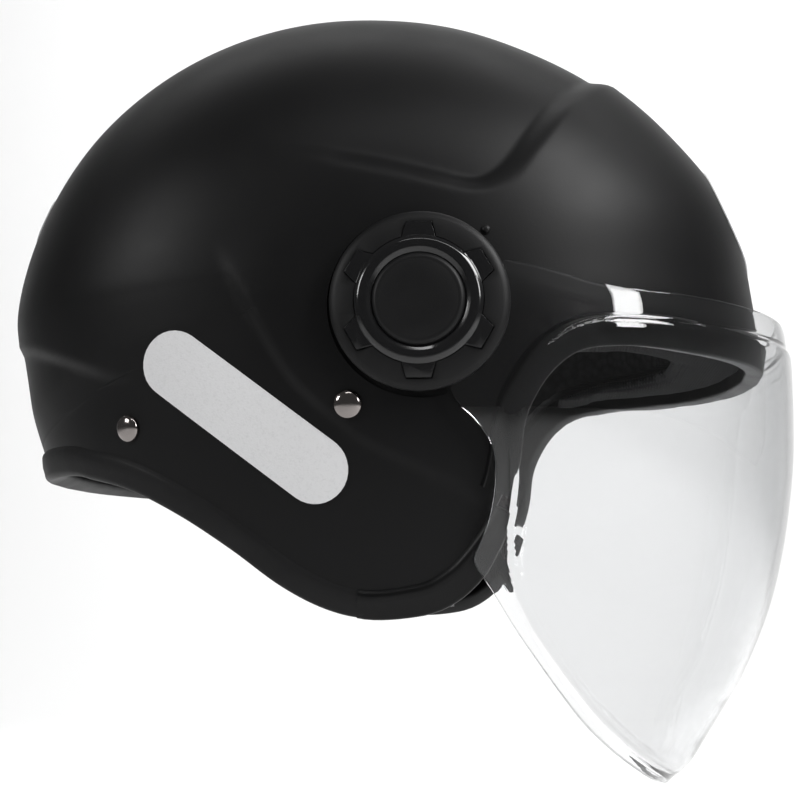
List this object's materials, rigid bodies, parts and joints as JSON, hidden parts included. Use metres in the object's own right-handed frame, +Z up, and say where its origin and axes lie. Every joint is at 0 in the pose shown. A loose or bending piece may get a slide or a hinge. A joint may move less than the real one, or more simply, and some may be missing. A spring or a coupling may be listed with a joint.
{
  "type": "open face motorcycle helmet",
  "caption": "Open face motorcycle helmet with a matt black shell, sewn lining, ratchet chin strap and a long clear bubble visor that lifts on side pivots.",
  "frame": {"origin": "centre of the wearer's head inside the lining, on the middle plane", "axes": "+X to the front of the helmet, +Y to the wearer's left along the visor's pivot axis, +Z up through the crown"},
  "size_m": [0.2789, 0.257, 0.2767],
  "materials": {
    "shell_paint": "matt black lacquer on a moulded shell",
    "foam": "dyed expanded bead foam",
    "mesh_lining": "knitted air mesh over foam",
    "lining_fabric": "brushed knit cover over foam",
    "edge_rubber": "soft rubber edging",
    "trim_vinyl": "fine grained soft vinyl",
    "black_plastic": "moulded nylon, fine texture",
    "matte_black": "fine spark-eroded matt texture",
    "gloss_black": "gloss moulded",
    "dark_mesh": "moulded grid",
    "reflective": "granular retro-reflective film",
    "steel": "zinc plated",
    "mirror_chrome": "polished domed heads",
    "clear_visor": "clear hard-coated polycarbonate",
    "webbing": "woven nylon webbing",
    "red_plastic": "moulded release lever"
  },
  "bodies": {
    "helmet": {"shell": "shell_paint", "foam_liner": "foam", "crown_lining": "mesh_lining", "brow_lining": "lining_fabric", "neck_roll": "lining_fabric", "cheek_pad_right": "lining_fabric", "cheek_pad_left": "lining_fabric", "lining_snaps": "black_plastic", "face_trim": "edge_rubber", "rear_trim": "trim_vinyl", "cheek_trim_right": "edge_rubber", "cheek_trim_left": "edge_rubber", "vent_frame": "black_plastic", "vent_screen": "dark_mesh", "strip_side_right": "reflective", "strip_side_left": "reflective", "strip_front": "reflective", "strip_rear": "reflective", "pivot_base_right": "black_plastic", "pivot_base_left": "black_plastic", "pivot_washer_right": "steel", "pivot_washer_left": "steel", "pivot_screw_right": "steel", "pivot_screw_left": "steel", "base_screws": "steel", "strap_rivets": "mirror_chrome", "rivet_washers": "steel", "strap_front_right": "webbing", "strap_rear_right": "webbing", "strap_front_left": "webbing", "strap_rear_left": "webbing", "chin_pad": "lining_fabric", "buckle_body": "black_plastic", "buckle_pin": "steel", "buckle_spring": "steel", "ratchet_tongue": "black_plastic"},
    "visor_group": {"visor": "clear_visor", "visor_cover_right": "matte_black", "visor_cover_left": "matte_black", "star_hub_right": "gloss_black", "star_hub_left": "gloss_black", "centre_cap_right": "matte_black", "centre_cap_left": "matte_black"},
    "vent_slide_group": {"vent_slider": "gloss_black"},
    "lever_group": {"buckle_lever": "red_plastic"}
  },
  "joints": [
    {"name": "visor_lift", "type": "hinge", "parent": "helmet", "child": "visor_group", "pos_m": [0.02, 0, -0.013], "axis": [0, -1, 0], "range_deg": [0, 65]},
    {"name": "vent_slide", "type": "slide", "parent": "helmet", "child": "vent_slide_group", "axis": [0.788, 0, -0.6157], "range_m": [0, 0.006]},
    {"name": "buckle_release", "type": "hinge", "parent": "helmet", "child": "lever_group", "pos_m": [0.012, -0.061, -0.1044], "axis": [-1, 0, 0], "range_deg": [0, 35], "stiffness_Nm_per_rad": 0.02, "springref_deg": -17.19}
  ]
}
